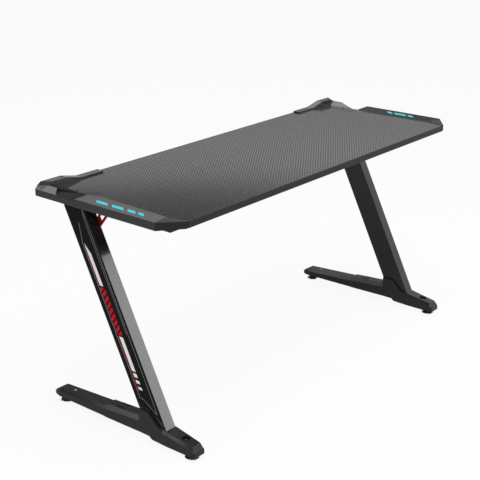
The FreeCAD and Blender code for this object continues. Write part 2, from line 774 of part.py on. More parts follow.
CROSSBARS = (
    ("front", "(Sizes.crossbar_inset - Sizes.beam_front)"),
    ("rear", f"({REAR} - Sizes.crossbar_rear)"),
)
BOLT_Z = f"({UNDER} - Sizes.beam_height / 2)"
along = Vector(1, 0, 0)
bolts = []
crossbar_bores = []
for name, y in CROSSBARS:
    bolt_length = "(Sizes.leg_width + Sizes.crossbar_wall + Sizes.crossbar_nut_height)"
    bolts.append(fuse(f"{name}_bolt", [
        hexagon(f"{name}_bolt_head", "Sizes.crossbar_bolt_head", "Sizes.crossbar_bolt_height",
                (f"{BEAM_X} - Sizes.crossbar_bolt_height", y, BOLT_Z), along),
        rod(f"{name}_bolt_shank", "Sizes.crossbar_bolt_shank", bolt_length, (BEAM_X, y, BOLT_Z), along),
        hexagon(f"{name}_bolt_nut", "Sizes.crossbar_nut_width", "Sizes.crossbar_nut_height",
                (f"{BEAM_X} + Sizes.leg_width + Sizes.crossbar_wall", y, BOLT_Z), along),
    ]))
    bore = rod(f"{name}_bolt_bore", "Sizes.crossbar_bolt_shank + 2 * Sizes.screw_clearance",
               f"{bolt_length} + Sizes.overrun", (f"{BEAM_X} - Sizes.overrun", y, BOLT_Z), along)
    beam_bores.append(bore)
    crossbar_bores += [bore, mirror(f"right_{name}_bolt_bore", bore)]
pair("crossbar_bolts", group("bolt_set", bolts))
pair("top_beam", cut("beam", beam_outer, beam_bores))

BAR_HALF = f"({LEG_X} - Sizes.leg_width / 2)"
for name, y in CROSSBARS:
    bar = block(
        f"{name}_bar_outer", (f"-{BAR_HALF}", f"{y} - Sizes.bar_depth / 2", BEAM_LOW),
        (f"2 * {BAR_HALF}", "Sizes.bar_depth", "Sizes.beam_height"),
    )
    hollow = block(
        f"{name}_bar_inner",
        (
            f"-{BAR_HALF} + Sizes.crossbar_wall",
            f"{y} - Sizes.bar_depth / 2 + Sizes.crossbar_wall",
            f"{BEAM_LOW} + Sizes.crossbar_wall",
        ),
        (
            f"2 * {BAR_HALF} - 2 * Sizes.crossbar_wall",
            "Sizes.bar_depth - 2 * Sizes.crossbar_wall",
            "Sizes.beam_height - 2 * Sizes.crossbar_wall",
        ),
    )
    node(cut(f"{name}_bar", bar, [hollow] + crossbar_bores), f"{name}_crossbar")

# Triangular brace between the leg's front face and the beam, flush with their inner faces, with a
# clipped corner and an opening of its own shape
brace_top = leg_y(BEAM_LOW, "(-0.5)")
brace_low = f"({BEAM_LOW} - Sizes.gusset_drop)"
clip_z = f"({BEAM_LOW} - Sizes.gusset_clip)"
brace_x = f"{LEFT_X} + (Sizes.leg_width - Sizes.gusset_thickness) / 2"
brace_corners = [
    (BRACE_TIP, BEAM_LOW),
    (f"({brace_top} - Sizes.gusset_clip)", BEAM_LOW),
    (leg_y(clip_z, "(-0.5)"), clip_z),
    (leg_y(brace_low, "(-0.5)"), brace_low),
]
middle_y, middle_z = (f"(({' + '.join(axis)}) / {len(axis)})" for axis in zip(*brace_corners))
hole_corners = [
    (
        f"{middle_y} + ({y} - {middle_y}) * {GUSSET_HOLE_SHARE}",
        f"{middle_z} + ({z} - {middle_z}) * {GUSSET_HOLE_SHARE}",
    )
    for y, z in brace_corners
]
brace = doc.addObject("PartDesign::Body", "brace")
brace_outline = sketch(brace, "brace_outline", "YZ_Plane", brace_corners, brace_x)
pad(brace, "brace_pad", brace_outline, "Sizes.gusset_thickness", symmetric=True)
brace_hole = sketch(brace, "brace_hole", "YZ_Plane", hole_corners, brace_x)
pocket(brace, "brace_opening", brace_hole, "Sizes.gusset_thickness + Sizes.overrun", symmetric=True)
pair("brace", brace)

node(cut("board", blank, board_bores + trim_screw_bores), "desktop_board")

# Feet: a steel bar under a moulded cover whose cheeks hold the leg
foot_bar = block(
    "foot_bar_blank",
    (f"{LEFT_X} - Sizes.foot_bar_width / 2", f"Sizes.foot_bar_end - {FOOT_END}", "Sizes.foot_bar_lift"),
    ("Sizes.foot_bar_width", "Sizes.foot_length - 2 * Sizes.foot_bar_end", "Sizes.foot_bar_thickness"),
)
cover = doc.addObject("PartDesign::Body", "cover")
sections = []
for index, shares in enumerate(FOOT_SECTION_SHARES):
    along_share, side_share, edge_share, top_share, shoulder_share, under_share = shares
    ring = []
    for share_x, share_z in (
        (-side_share, under_share), (side_share, under_share), (side_share, shoulder_share),
        (edge_share, top_share), (-edge_share, top_share), (-side_share, shoulder_share),
    ):
        ring.append((
            f"{LEFT_X} + ({share_x}) * Sizes.foot_width / 2",
            f"{share_z} * Sizes.foot_height",
        ))
    lift = f"({-along_share}) * {FOOT_END}"
    sections.append(sketch(cover, f"cover_section_{index}", "XZ_Plane", ring, lift))
loft = cover.newObject("PartDesign::AdditiveLoft", "cover_loft")
loft.Profile = sections[0]
loft.Sections = sections[1:]
loft.Ruled = True
cheek = sketch(cover, "cheek_outline", "YZ_Plane", [
    (f"{LEG_FOOT} + Sizes.cheek_rear", BAR_TOP),
    (f"{LEG_FOOT} + Sizes.cheek_rear", "Sizes.cheek_height"),
    (f"{LEG_FOOT} + Sizes.cheek_crest", "Sizes.cheek_height"),
    (f"{LEG_FOOT} - Sizes.cheek_foot", "Sizes.cheek_toe_height"),
    (f"{LEG_FOOT} - Sizes.cheek_front", "Sizes.cheek_toe_height - Sizes.cheek_toe_drop"),
    (f"{LEG_FOOT} - Sizes.cheek_front", BAR_TOP),
], LEFT_X)
pad(cover, "cheek_pad", cheek, "Sizes.foot_width", symmetric=True)
slot_top = "(Sizes.cheek_height + Sizes.overrun)"
socket = sketch(
    cover, "leg_socket", "YZ_Plane", leg_outline(BAR_TOP, slot_top, "(-Sizes.cover_clearance)"), LEFT_X,
)
pocket(cover, "leg_socket_cut", socket, "Sizes.leg_width + 2 * Sizes.cover_clearance", symmetric=True)
bar_reach = f"({FOOT_END} - Sizes.foot_bar_end + Sizes.cover_clearance)"
channel = sketch(cover, "bar_channel", "YZ_Plane", [
    (f"-{bar_reach}", "0"),
    (bar_reach, "0"),
    (bar_reach, BAR_TOP),
    (f"-{bar_reach}", BAR_TOP),
], LEFT_X)
pocket(cover, "bar_channel_cut", channel, "Sizes.foot_bar_width + 2 * Sizes.cover_clearance", symmetric=True)
cover_cuts = []
for name, sign in (("outer", "-"), ("inner", "+")):
    cover_cuts.append(block(
        f"{name}_slot",
        (
            f"{LEFT_X} {sign} Sizes.slot_spacing / 2 - Sizes.slot_width / 2",
            "Sizes.slot_y - Sizes.slot_length / 2",
            "Sizes.slot_floor",
        ),
        ("Sizes.slot_width", "Sizes.slot_length", "Sizes.foot_height"),
    ))
cover_screws = []
bar_bores = []
for name, y, recess in (
    ("front", f"Sizes.front_screw_inset - {FOOT_END}", "Sizes.front_recess"),
    ("rear", f"{FOOT_END} - Sizes.rear_screw_inset", "Sizes.rear_recess"),
):
    cover_cuts.append(rod(f"{name}_recess", recess, "Sizes.foot_height", (LEFT_X, y, RECESS_FLOOR)))
    deep = f"({RECESS_FLOOR} - Sizes.foot_bar_lift)"
    bore = rod(f"{name}_cover_bore", "Sizes.cover_screw_shank + 2 * Sizes.screw_clearance",
               f"{deep} + 2 * Sizes.overrun", (LEFT_X, y, "Sizes.foot_bar_lift - Sizes.overrun"))
    cover_cuts.append(bore)
    bar_bores.append(bore)
    cover_screws.append(fuse(f"{name}_cover_screw", [
        rod(f"{name}_cover_head", "Sizes.cover_screw_head", "Sizes.cover_screw_height",
            (LEFT_X, y, RECESS_FLOOR)),
        rod(f"{name}_cover_shank", "Sizes.cover_screw_shank", deep, (LEFT_X, y, "Sizes.foot_bar_lift")),
    ]))
pair("foot_screws", group("foot_screw_set", cover_screws))

# Levelling feet: a pad on a threaded stud that runs in a nut under the foot bar
LEVELLER_Y = f"({FOOT_END} - Sizes.leveller_inset)"
for name, y in (("front", f"-{LEVELLER_Y}"), ("rear", LEVELLER_Y)):
    clear = "Sizes.stud_diameter + 2 * Sizes.stud_clearance"
    stud_bore = rod(f"{name}_stud_bore", clear, RECESS_FLOOR, (LEFT_X, y, "0"))
    bar_bores.append(stud_bore)
    cover_cuts.append(stud_bore)
    nut_low = "(Sizes.foot_bar_lift - Sizes.nut_height)"
    nut = hexagon(f"{name}_nut_blank", "Sizes.nut_width", "Sizes.nut_height", (LEFT_X, y, nut_low))
    pair(f"{name}_leveller_nut", cut(f"{name}_nut", nut, [stud_bore]))
    pair(f"{name}_leveller_stud", rod(
        f"{name}_stud", "Sizes.stud_diameter", f"{BAR_TOP} - Sizes.stud_gap - Sizes.leveller_height",
        (LEFT_X, y, "Sizes.leveller_height"),
    ))
    disc = rod(f"{name}_disc", "Sizes.leveller_diameter", "Sizes.leveller_rim", (LEFT_X, y, "0"))
    cone = doc.addObject("Part::Cone", f"{name}_cone")
    bind(cone, Radius1="Sizes.leveller_diameter / 2", Radius2="Sizes.leveller_neck / 2",
         Height="Sizes.leveller_height - Sizes.leveller_rim")
    place(cone, LEFT_X, y, "Sizes.leveller_rim")
    pair(f"{name}_leveller_pad", fuse(f"{name}_pad", [disc, cone]))
pair("foot_bar", cut("foot_bar_cut", foot_bar, bar_bores))
pair("foot_cover", cut("foot_cover", cover, cover_cuts))

# Light controller: a case hung under the board, with its lid, circuit board, button and power inlet
CASE_X = "(Sizes.controller_x - Sizes.controller_length / 2)"
CASE_Y = f"({REAR} - Sizes.controller_rear - Sizes.controller_depth / 2)"
CASE_Z = f"({UNDER} - Sizes.controller_height)"
case_outer = block("case_outer", (CASE_X, CASE_Y, CASE_Z),
                   ("Sizes.controller_length", "Sizes.controller_depth", "Sizes.controller_height"))
case_inner = block(
    "case_inner",
    (f"{CASE_X} + Sizes.controller_wall", f"{CASE_Y} + Sizes.controller_wall", f"{CASE_Z} - Sizes.overrun"),
    (
        "Sizes.controller_length - 2 * Sizes.controller_wall",
        "Sizes.controller_depth - 2 * Sizes.controller_wall",
        "Sizes.controller_height - Sizes.controller_wall + Sizes.overrun",
    ),
)
backward = Vector(0, 1, 0)
BUTTON_X = f"({CASE_X} + Sizes.button_inset)"
BUTTON_Z = f"({CASE_Z} + Sizes.controller_height / 2)"
button_bore = rod("button_bore", "Sizes.button_diameter + 2 * Sizes.button_clearance",
                  "Sizes.controller_wall + 2 * Sizes.overrun",
                  (BUTTON_X, f"{CASE_Y} - Sizes.overrun", BUTTON_Z), backward)
flange_y = f"({CASE_Y} + Sizes.controller_wall)"
node(fuse("button", [
    rod("button_stem", "Sizes.button_diameter", "Sizes.button_length",
        (BUTTON_X, f"{CASE_Y} - Sizes.button_proud", BUTTON_Z), backward),
    rod("button_flange_disc", "Sizes.button_flange", "Sizes.button_flange_thickness",
        (BUTTON_X, flange_y, BUTTON_Z), backward),
]), "controller_button")
INLET_X = f"({CASE_X} + Sizes.controller_length - Sizes.button_inset)"
INLET_Y = f"({CASE_Y} + Sizes.controller_depth - Sizes.inlet_depth)"
inlet_body = block(
    "inlet_body", (f"{INLET_X} - Sizes.inlet_width / 2", INLET_Y, f"{BUTTON_Z} - Sizes.inlet_height / 2"),
    ("Sizes.inlet_width", "Sizes.inlet_depth", "Sizes.inlet_height"),
)
inlet_bore = rod("inlet_bore_tool", "Sizes.inlet_bore", "Sizes.inlet_depth",
                 (INLET_X, f"{INLET_Y} + Sizes.inlet_floor", BUTTON_Z), backward)
inlet_pin = rod("inlet_pin_rod", "Sizes.inlet_pin", "Sizes.inlet_depth - 2 * Sizes.inlet_floor",
                (INLET_X, f"{INLET_Y} + Sizes.inlet_floor", BUTTON_Z), backward)
node(fuse("inlet", [cut("inlet_shell", inlet_body, [inlet_bore]), inlet_pin]), "power_inlet")
circuit_z = f"({UNDER} - Sizes.controller_wall - Sizes.circuit_thickness)"
node(block(
    "circuit",
    (
        f"{CASE_X} + Sizes.controller_wall + Sizes.circuit_margin",
        f"{CASE_Y} + Sizes.controller_wall + Sizes.circuit_margin",
        circuit_z,
    ),
    (
        "Sizes.controller_length - 2 * (Sizes.controller_wall + Sizes.circuit_margin)",
        "Sizes.controller_depth - 2 * (Sizes.controller_wall + Sizes.circuit_margin)",
        "Sizes.circuit_thickness",
    ),
), "controller_circuit")
node(block("lid", (CASE_X, CASE_Y, f"{CASE_Z} - Sizes.controller_lid"),
           ("Sizes.controller_length", "Sizes.controller_depth", "Sizes.controller_lid")), "controller_lid")
node(cut("case", case_outer, [case_inner, button_bore, inlet_body]), "controller_case")

# Leads: out of the controller's ends, along the back of the board and up into each light strip
lead_r = size("lead_diameter") / 2
lead_z = board_under - lead_r - size("lead_gap")
lead_x = half_width - size("window_inset")
groove_floor = board_top - size("groove_depth")
case_left = size("controller_x") - size("controller_length") / 2
case_right = size("controller_x") + size("controller_length") / 2
case_y = desk_rear - size("controller_rear")
lead_y = desk_rear - size("lead_rear")
bend = size("lead_bend")
rise_bend = size("lead_diameter") * 2


def rounded(points, radii):
    """Straight runs joined by tangent arcs of the given radii."""
    edges = []
    start = points[0]
    for before, corner, after, radius in zip(points, points[1:], points[2:], radii):
        inward = (before - corner).normalize()
        outward = (after - corner).normalize()
        half_turn = inward.getAngle(outward) / 2
        reach = radius / math.tan(half_turn)
        middle = corner + (inward + outward).normalize() * (radius / math.sin(half_turn) - radius)
        entry = corner + inward * reach
        leave = corner + outward * reach
        edges.append(Part.LineSegment(start, entry).toShape())
        edges.append(Part.Arc(entry, middle, leave).toShape())
        start = leave
    edges.append(Part.LineSegment(start, points[-1]).toShape())
    return Part.Wire(edges)


def lead(label, case_end, sign):
    points = [
        Vector(case_end, case_y, lead_z),
        Vector(case_end + sign * 2 * bend, case_y, lead_z),
        Vector(case_end + sign * 4 * bend, lead_y, lead_z),
        Vector(sign * lead_x, lead_y, lead_z),
        Vector(sign * lead_x, strip_rear, lead_z),
        Vector(sign * lead_x, strip_rear, groove_floor),
    ]
    path = rounded(points, [bend, bend, bend, rise_bend])
    disc = Part.Face(Part.Wire(Part.makeCircle(lead_r, points[0], points[1] - points[0])))
    item = doc.addObject("Part::Feature", label)
    item.Shape = path.makePipe(disc)
    item.Placement = FreeCAD.Placement()
    section = math.pi * lead_r ** 2
    print(label, "volume over section times length", item.Shape.Volume / (section * path.Length))
    return node(item, label)


lead("left_light_lead", case_left, -1)
lead("right_light_lead", case_right, 1)

# Clips that hold the leads to the underside of the board
CLIP_SPAN = "(Sizes.lead_diameter + 2 * Sizes.lead_gap)"
clip_reach = lead_x - bend - size("clip_length")
lead_offset = 5 * bend + size("clip_length")
clips = []
for side, sign, start_x in (("left", "-", lead_offset - case_left), ("right", "", lead_offset + case_right)):
    for index in range(int((clip_reach - start_x) / size("clip_pitch")) + 1):
        far = f"({WINDOW_X} - Sizes.lead_bend - 2 * Sizes.clip_length - {index} * Sizes.clip_pitch)"
        low_x = f"{sign}{far} - Sizes.clip_length / 2"
        outer_block = block(
            f"{side}_clip_{index}_outer",
            (
                low_x,
                f"{LEAD_LINE} - {CLIP_SPAN} / 2 - Sizes.clip_wall",
                f"{UNDER} - {CLIP_SPAN} - Sizes.clip_wall",
            ),
            ("Sizes.clip_length", f"{CLIP_SPAN} + 2 * Sizes.clip_wall", f"{CLIP_SPAN} + Sizes.clip_wall"),
        )
        channel_block = block(
            f"{side}_clip_{index}_channel",
            (f"{low_x} - Sizes.overrun", f"{LEAD_LINE} - {CLIP_SPAN} / 2", f"{UNDER} - {CLIP_SPAN}"),
            ("Sizes.clip_length + 2 * Sizes.overrun", CLIP_SPAN, f"{CLIP_SPAN} + Sizes.overrun"),
        )
        clips.append(cut(f"{side}_clip_{index}", outer_block, [channel_block]))
node(group("clip_set", clips), "lead_clips")

doc.recompute()
for item in doc.Objects:
    if "Invalid" in item.State or "Error" in item.State:
        raise RuntimeError(f"{item.Label} failed: {item.State}")
for item in nodes:
    if item.Shape.isNull() or not item.Shape.isValid() or not item.Shape.Solids:
        raise RuntimeError(f"{item.Label} has no valid solid")
os.makedirs("parts", exist_ok=True)
for item in nodes:
    item.Shape.exportStep(f"parts/{item.Label}.step")
print(len(nodes), "nodes")
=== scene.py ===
import math

import bmesh
import bpy
from mathutils import Matrix, Vector


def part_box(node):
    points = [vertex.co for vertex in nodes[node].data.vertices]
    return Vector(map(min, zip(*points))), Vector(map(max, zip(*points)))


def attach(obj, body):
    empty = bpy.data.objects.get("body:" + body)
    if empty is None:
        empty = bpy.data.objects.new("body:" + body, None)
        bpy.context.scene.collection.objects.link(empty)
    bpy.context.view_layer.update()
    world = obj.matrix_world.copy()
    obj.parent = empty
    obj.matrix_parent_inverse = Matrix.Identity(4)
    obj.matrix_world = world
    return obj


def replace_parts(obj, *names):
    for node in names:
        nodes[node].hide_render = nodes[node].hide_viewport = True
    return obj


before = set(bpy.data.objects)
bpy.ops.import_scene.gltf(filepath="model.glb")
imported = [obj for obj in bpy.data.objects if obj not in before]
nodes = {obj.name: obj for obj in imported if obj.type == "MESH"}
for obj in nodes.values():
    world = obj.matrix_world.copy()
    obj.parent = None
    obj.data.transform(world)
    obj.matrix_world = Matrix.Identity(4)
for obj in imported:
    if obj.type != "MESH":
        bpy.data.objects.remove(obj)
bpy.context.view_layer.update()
MM = 0.001
SIDES = ("left", "right")
ENDS = ("front", "rear")

# The leg's slant, read from the left column: its faces lean back by this much per metre of height
LEG_SPAN = 90 * MM
column_low, column_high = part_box("left_leg_column")
LEG_LEAN = (column_high.y - column_low.y - LEG_SPAN) / (column_high.z - column_low.z)
LEG_FOOT = column_low.y + LEG_SPAN / 2

# How much a finish's tone varies from place to place, and how much a dull black finish mirrors
CLOUDING = 0.15
DULL_MIRROR = 0.25


class Value:
    """An output socket of a finish. Arithmetic on it adds Math nodes."""

    def __init__(self, finish, socket):
        self.finish = finish
        self.socket = socket

    def math(self, operation, *operands):
        return self.finish.node("ShaderNodeMath", {"operation": operation}, dict(enumerate(operands)))

    def __add__(self, other):
        return self.math("ADD", self, other)

    def __sub__(self, other):
        return self.math("SUBTRACT", self, other)

    def __rsub__(self, other):
        return self.math("SUBTRACT", other, self)

    def __mul__(self, other):
        return self.math("MULTIPLY", self, other)

    def __truediv__(self, other):
        return self.math("DIVIDE", self, other)

    def __mod__(self, other):
        return self.math("FLOORED_MODULO", self, other)

    def __or__(self, other):
        return self.math("MAXIMUM", self, other)

    def __abs__(self):
        return self.math("ABSOLUTE", self)

    __radd__ = __add__
    __rmul__ = __mul__

    def floor(self):
        return self.math("FLOOR", self)

    def other(self, output):
        return Value(self.finish, self.socket.node.outputs[output])

    def step(self, edge, blur):
        """0 below the edge and 1 above it, over a soft width."""
        return self.finish.node(
            "ShaderNodeMapRange",
            {"interpolation_type": "SMOOTHSTEP"},
            {"Value": self, "From Min": edge - blur / 2, "From Max": edge + blur / 2},
        )

    def band(self, low, high, blur):
        """1 between two edges and 0 outside them."""
        return self.step(low, blur) * (1 - self.step(high, blur))

    def ridge(self):
        """0 at each whole number and 1 halfway between two of them."""
        return 1 - abs((self % 1) * 2 - 1)


class Finish:
    """A material or world whose nodes are added one call at a time."""

    def __init__(self, owner, shader):
        self.owner = owner
        self.tree = owner.node_tree
        self.shader = self.tree.nodes[shader]

    def node(self, kind, settings=None, sockets=None, output=0):
        made = self.tree.nodes.new(kind)
        for name, setting in (settings or {}).items():
            setattr(made, name, setting)
        for key, value in (sockets or {}).items():
            self.feed(made.inputs[key], value)
        return Value(self, made.outputs[output])

    def feed(self, socket, value):
        if isinstance(value, Value):
            self.tree.links.new(value.socket, socket)
        else:
            socket.default_value = value

    def shade(self, **sockets):
        """Values of the surface shader, with its socket names in small letters."""
        for name, value in sockets.items():
            self.feed(self.shader.inputs[name.replace("_", " ").title()], value)
        return self

    def mirror_share(self, level):
        """How much the surface mirrors, where 0.5 is plain plastic."""
        self.shader.inputs["Specular IOR Level"].default_value = level
        return self

    def point(self):
        """Object coordinates, which are the desk's own metres."""
        return self.node("ShaderNodeTexCoord", output="Object")

    def axes(self, point):
        x = self.node("ShaderNodeSeparateXYZ", None, {"Vector": point})
        return x, x.other("Y"), x.other("Z")

    def noise(self, point, scale, detail=2.0):
        return self.node("ShaderNodeTexNoise", None, {"Vector": point, "Scale": scale, "Detail": detail})

    def drawn_noise(self, point, scales):
        """Noise drawn out along some axes by its scale on each."""
        return self.noise(self.stretched(point, scales), 1.0)

    def stretched(self, point, scales):
        return self.node("ShaderNodeMapping", None, {"Vector": point, "Scale": scales})

    def mix(self, factor, first, second):
        sockets = {0: factor, 6: first, 7: second}
        return self.node("ShaderNodeMix", {"data_type": "RGBA"}, sockets, output=2)

    def bump(self, height, distance):
        sockets = {"Height": height, "Distance": distance, "Strength": 1.0}
        return self.node("ShaderNodeBump", None, sockets)

    def background_rays(self):
        """1 on rays from the camera, and 1 on rays that gloss or glass sends on."""
        camera = self.node("ShaderNodeLightPath", output="Is Camera Ray")
        return camera, camera.other("Is Glossy Ray") | camera.other("Is Transmission Ray")


def material(name):
    made = bpy.data.materials.new(name)
    made.use_nodes = True
    return Finish(made, "Principled BSDF")


def grey(tone):
    return tone, tone, tone, 1.0


def tinted(colour, factor):
    return (*[channel * factor for channel in colour], 1.0)


def bar_nose(x, y):
    """1 on the two facets at the front corner of each light bar, and 0 behind them; the trim there is
    rougher and painted darker as shade.
    """
    inner_x = 703 * MM
    inner_y = -215 * MM
    slope = 0.239
    blur = 1.0 * MM
    return (inner_y - y - slope * (abs(x) - inner_x)).step(0.0, blur)


def moulded(name, tone, gloss, grain, depth, level=DULL_MIRROR, coarse_and_shaded=None):
    """Black moulded plastic with a fine spark texture and faint clouding, coarser where a mask says so and
    there painted darker as shade.
    """
    cloud_scale = 9.0
    coarse_roughness = 0.55
    painted_shade_tone = 0.35
    finish = material(name)
    point = finish.point()
    cloud = finish.noise(point, cloud_scale, 3.0)
    spark = finish.noise(point, grain, 1.0)
    roughness = gloss * (0.85 + 0.2 * cloud + 0.1 * spark)
    colour = finish.mix(cloud, grey(tone * (1 - CLOUDING)), grey(tone * (1 + CLOUDING)))
    if coarse_and_shaded:
        x, y, _ = finish.axes(point)
        mask = coarse_and_shaded(x, y)
        roughness = roughness + coarse_roughness * mask
        # The mask also paints shade: the masked facets get a darker tone, standing in for facets turned from
        # the light
        colour = finish.mix(mask, colour, grey(tone * painted_shade_tone))
    finish.shade(base_color=colour, roughness=roughness, normal=finish.bump(spark, depth))
    return finish.mirror_share(level)


def powder_coat(name, colour, gloss):
    """Paint baked on steel: an orange-peel surface with small flecks."""
    peel_scale = 650.0
    peel_depth = 0.002 * MM
    cloud_scale = 6.0
    fleck_scale = 2600.0
    fleck_edge = 0.68
    fleck_share = 0.25
    fleck_tone = 1.8
    finish = material(name)
    point = finish.point()
    peel = finish.noise(point, peel_scale)
    cloud = finish.noise(point, cloud_scale)
    fleck = finish.noise(point, fleck_scale, 0.0).step(fleck_edge, 0.1)
    coat = finish.mix(cloud, tinted(colour, 1 - CLOUDING), tinted(colour, 1 + CLOUDING))
    finish.shade(
        base_color=finish.mix(fleck * fleck_share, coat, tinted(colour, fleck_tone)),
        roughness=gloss * (0.8 + 0.4 * peel),
        normal=finish.bump(peel, peel_depth),
    )
    return finish.mirror_share(DULL_MIRROR)


def carbon_laminate():
    """Glossy laminate over a two-by-two twill: wide tows, whose steps run in slanted lines."""
    warp_pitch = 3.49 * MM
    weft_pitch = 2.44 * MM
    repeat = 4
    weft_tone = 0.002
    warp_lift = 0.062
    fibre_scales = (2200.0, 160.0, 1.0)
    cloud_scale = 4.0
    relief = 0.008 * MM
    gloss_mirror = 0.38
    finish = material("carbon_laminate")
    point = finish.point()
    x, y, _ = finish.axes(point)
    across = x / warp_pitch
    along = y / weft_pitch
    # Of the four steps of a repeat, 0 and 1 show the warp and 2 and 3 the weft
    step = (across.floor() - along.floor()) % repeat
    over = 1 - step.step(1.5, 0.2)
    crown = over * across.ridge() + (1 - over) * along.ridge()
    fibre = finish.drawn_noise(point, fibre_scales)
    cloud = finish.noise(point, cloud_scale)
    tone = (weft_tone + warp_lift * over) * (0.55 + 0.45 * crown) * (0.7 + 0.6 * fibre)
    finish.shade(
        base_color=finish.node("ShaderNodeCombineColor", None, {"Red": tone, "Green": tone, "Blue": tone}),
        roughness=0.07 + 0.02 * cloud + 0.10 * (1 - over),
        normal=finish.bump(crown * 0.6 + over * 0.4, relief),
    )
    return finish.mirror_share(gloss_mirror)


def panel_print():
    """Printed sheet of the leg: a fine outline, bars with a pinstripe, and a red hatch."""
    blur = 0.5 * MM
    line = 1.6
    fine_line = 1.2
    bar = 15
    wide_bar = 16
    stripe = 2.4
    margin_tone = grey(0.003)
    field_tone = (0.0034, 0.0026, 0.0026, 1.0)
    line_tone = (0.50, 0.48, 0.46, 1.0)
    line_cover = 0.75
    bar_tone = grey(1.0)
    red = (0.58, 0.006, 0.018, 1.0)
    grain_scale = 900.0
    grain_depth = 0.002 * MM
    satin_mirror = 0.06
    finish = material("panel_print")
    point = finish.point()
    _, y, z = finish.axes(point)
    across = y - (LEG_FOOT - LEG_LEAN * column_low.z) - LEG_LEAN * z
    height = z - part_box("left_leg_panel")[0].z

    def stroke(start, end, width):
        """Straight line between two places on the sheet, each given across the leg and above its toe."""
        run = Vector(end) - Vector(start)
        unit = run.normalized()
        aside = across - start[0] * MM
        rise = height - start[1] * MM
        forward = aside * unit.x + rise * unit.y
        offset = abs(rise * unit.x - aside * unit.y)
        return forward.band(0, run.length * MM, blur) * (1 - offset.step(width * MM / 2, blur))

    def joined(strokes):
        total = strokes[0]
        for mask in strokes[1:]:
            total = total | mask
        return total

    def chain(places, width):
        """Strokes from each place to the next."""
        return joined([stroke(start, end, width) for start, end in zip(places, places[1:])])

    frame_line = chain([(-37, 606), (-33, 60), (-31, 21), (8, 55), (22, 56), (22, 500), (2, 565)], line)
    inner_line = chain([(-34, 606), (-28, 565), (-28, 250)], fine_line)
    bars = joined([
        stroke((6.5, 512), (6.5, 382), bar),
        stroke((4, 236), (4, 137), wide_bar),
        stroke((4, 131), (4, 119), bar),
        stroke((4, 111), (4, 101), bar),
        stroke((4, 91), (4, 83), bar),
    ])
    bar_top = 478 * MM
    bar_slope = 1.8
    taper = (height - bar_top - bar_slope * across).step(0.0, blur)
    pinstripe = joined([stroke((18, 490), (18, 379), stripe), stroke((16, 236), (16, 76), stripe)])
    hatch_pitch = 17 * MM
    hatch_slope = 0.8
    hatch_stripes = ((height + across * hatch_slope) / hatch_pitch % 1).band(0.14, 0.80, 0.05)
    hatch_field = height.band(240 * MM, 377 * MM, blur) * across.band(-6 * MM, 18 * MM, blur)
    drawn = finish.mix(across.band(-33 * MM, 22 * MM, blur), margin_tone, field_tone)
    drawn = finish.mix((frame_line | inner_line) * line_cover, drawn, line_tone)
    drawn = finish.mix(bars * (1 - taper), drawn, bar_tone)
    drawn = finish.mix(hatch_stripes * hatch_field | pinstripe, drawn, red)
    grain = finish.noise(point, grain_scale)
    finish.shade(base_color=drawn, roughness=0.22 + 0.10 * grain, normal=finish.bump(grain, grain_depth))
    return finish.mirror_share(satin_mirror)


def light_lens():
    """Lit window: brighter over each diode of the strip below."""
    diode_pitch = 16.5 * MM
    dim_glow = (0.042, 0.61, 0.68, 1.0)
    bright_glow = (0.062, 0.74, 0.81, 1.0)
    dark_tint = (0.002, 0.020, 0.024, 1.0)
    pale_tint = (0.003, 0.030, 0.034, 1.0)
    cloud_scale = 60.0
    faint_mirror = 0.05
    finish = material("light_lens")
    point = finish.point()
    _, y, _ = finish.axes(point)
    cloud = finish.noise(point, cloud_scale)
    finish.shade(
        base_color=finish.mix(cloud, dark_tint, pale_tint),
        emission_color=finish.mix(0.35 + 0.65 * (y / diode_pitch).ridge(), dim_glow, bright_glow),
        emission_strength=0.82,
        roughness=0.35 + 0.1 * cloud,
    )
    return finish.mirror_share(faint_mirror)


def plated(name, tone, gloss, front_tone=None):
    """Zinc plate with a fine turned grain, of another tone on the front half of the desk if one is given."""
    grain_scales = (300.0, 300.0, 4000.0)
    grain_depth = 0.006 * MM
    dark_grain = 0.85
    bright_grain = 1.1
    finish = material(name)
    point = finish.point()
    grain = finish.drawn_noise(point, grain_scales)
    colour = finish.mix(grain, grey(tone * dark_grain), grey(tone * bright_grain))
    if front_tone:
        _, y, _ = finish.axes(point)
        colour = finish.mix(y.step(0.0, 1.0 * MM), grey(front_tone), colour)
    finish.shade(
        base_color=colour,
        metallic=1.0,
        roughness=gloss + 0.16 * (grain - 0.5),
        normal=finish.bump(grain, grain_depth),
    )
    return finish


def particle_board():
    """Raw board: pressed chips of several tones."""
    chip_shape = (1.0, 0.7, 1.0)
    chip_scale = 210.0
    dust_scale = 800.0
    dust_depth = 0.08 * MM
    dark_chip = (0.23, 0.155, 0.085, 1.0)
    pale_chip = (0.44, 0.33, 0.21, 1.0)
    dust_tone = (0.16, 0.10, 0.055, 1.0)
    finish = material("particle_board")
    point = finish.point()
    sockets = {"Vector": finish.stretched(point, chip_shape), "Scale": chip_scale}
    chips = finish.node("ShaderNodeTexVoronoi", None, sockets, output="Color")
    chip = finish.node("ShaderNodeSeparateColor", None, {"Color": chips})
    dust = finish.noise(point, dust_scale, 3.0)
    finish.shade(
        base_color=finish.mix(dust * 0.5, finish.mix(chip, dark_chip, pale_chip), dust_tone),
        roughness=0.75 + 0.2 * (dust - 0.5),
        normal=finish.bump(dust, dust_depth),
    )
    return finish


def circuit_board():
    """Green board with pale copper tracks."""
    track_pitch = 3 * MM
    cross_pitch = 5 * MM
    board_tone = (0.01, 0.10, 0.03, 1.0)
    track_tone = (0.05, 0.22, 0.08, 1.0)
    cloud_scale = 300.0
    finish = material("circuit_board")
    point = finish.point()
    x, y, _ = finish.axes(point)
    track = (x / track_pitch % 1).band(0.35, 0.5, 0.04) | (y / cross_pitch % 1).band(0.4, 0.48, 0.04)
    cloud = finish.noise(point, cloud_scale)
    return finish.shade(base_color=finish.mix(track, board_tone, track_tone), roughness=0.3 + 0.1 * cloud)


